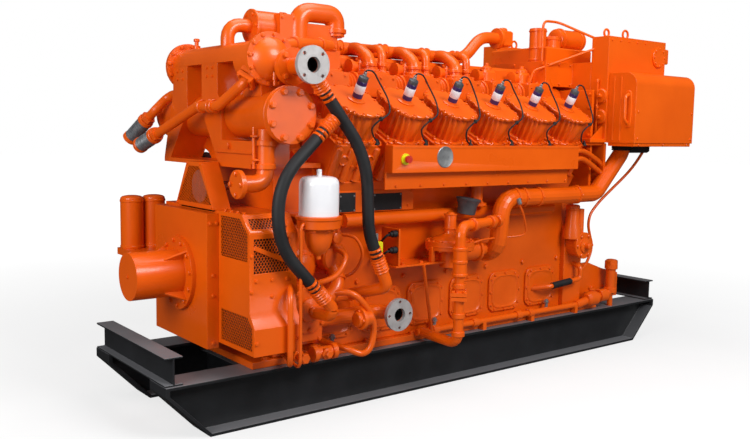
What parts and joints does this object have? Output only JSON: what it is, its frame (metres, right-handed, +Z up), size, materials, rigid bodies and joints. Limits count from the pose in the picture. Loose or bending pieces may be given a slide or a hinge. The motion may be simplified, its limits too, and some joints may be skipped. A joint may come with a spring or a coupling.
{
  "type": "stationary V12 gas engine on a skid",
  "caption": "Orange stationary V gas engine with belt guard, coolers, coolant hoses, ignition coils, gas train and air intake hoods, bolted on a black I-beam skid.",
  "frame": {"origin": "middle of the skid on the floor", "axes": "+X along the crankshaft toward the air intakes, +Y away from the service side, +Z up"},
  "size_m": [4.11, 1.68, 2.34],
  "materials": {
    "engine_paint": "glossy orange enamel over castings and sheet",
    "skid_paint": "satin black paint on rolled beams",
    "black_rubber": "matte black rubber",
    "bare_steel": "machined bare steel",
    "grey_metal": "dull grey ribbed metal",
    "filter_white": "gloss white enamel",
    "coil_plastic": "dark blue moulded plastic",
    "stop_yellow": "gloss yellow plastic",
    "stop_red": "gloss red plastic"
  },
  "bodies": {
    "root": {"skid_beam_near": "skid_paint", "skid_beam_far": "skid_paint", "skid_crossbeams": "skid_paint", "skid_ties": "skid_paint", "engine_base": "engine_paint", "crankcase": "engine_paint", "crankcase_doors": "engine_paint", "cylinder_heads_near": "engine_paint", "cylinder_heads_far": "engine_paint", "rocker_covers_near": "engine_paint", "rocker_covers_far": "engine_paint", "ignition_coils": "coil_plastic", "ignition_leads": "black_rubber", "exhaust_manifold_near": "engine_paint", "exhaust_manifold_far": "engine_paint", "water_pipe": "engine_paint", "side_rail_near": "engine_paint", "side_rail_far": "engine_paint", "water_header_near": "engine_paint", "water_header_far": "engine_paint", "stop_ring": "stop_yellow", "gear_case": "engine_paint", "belt_guard": "engine_paint", "upper_guard": "engine_paint", "guard_screens": "engine_paint", "front_plate": "engine_paint", "shaft_guard": "engine_paint", "drive_belt": "black_rubber", "breather_cans": "engine_paint", "cooler_frame": "engine_paint", "coolant_tank": "engine_paint", "oil_cooler": "engine_paint", "outlet_pipe": "engine_paint", "outlet_flange": "bare_steel", "bypass_pipes": "engine_paint", "ribbed_connectors": "grey_metal", "mixer": "engine_paint", "filter_can": "filter_white", "filter_base": "engine_paint", "coolant_pump": "engine_paint", "inlet_flange": "bare_steel", "hose_upper": "black_rubber", "hose_lower": "black_rubber", "gas_regulator": "engine_paint", "gas_pipe": "engine_paint", "drain_pipe": "engine_paint", "air_pipe": "engine_paint", "flywheel_housing": "engine_paint", "starter_drive": "engine_paint", "air_box_near": "engine_paint", "air_box_far": "engine_paint", "air_stand": "engine_paint", "intake_hoods": "engine_paint", "intake_box": "engine_paint"},
    "crank_pulley": {"crank_pulley": "bare_steel"},
    "upper_pulley": {"upper_pulley": "bare_steel"},
    "stop_button": {"stop_button": "stop_red"}
  },
  "joints": [
    {"name": "crank_pulley_spin", "type": "hinge", "parent": "root", "child": "crank_pulley", "pos_m": [-1.638, 0, 0.79], "axis": [1, 0, 0], "continuous": true},
    {"name": "upper_pulley_spin", "type": "hinge", "parent": "root", "child": "upper_pulley", "pos_m": [-1.638, -0.077, 1.272], "axis": [1, 0, 0], "continuous": true},
    {"name": "stop_push", "type": "slide", "parent": "root", "child": "stop_button", "axis": [0, 1, 0], "range_m": [0, 0.005], "stiffness_N_per_m": 2000}
  ],
  "couplings": [
    {"joint": "upper_pulley_spin", "follows": "crank_pulley_spin", "ratio": 2.3529}
  ]
}
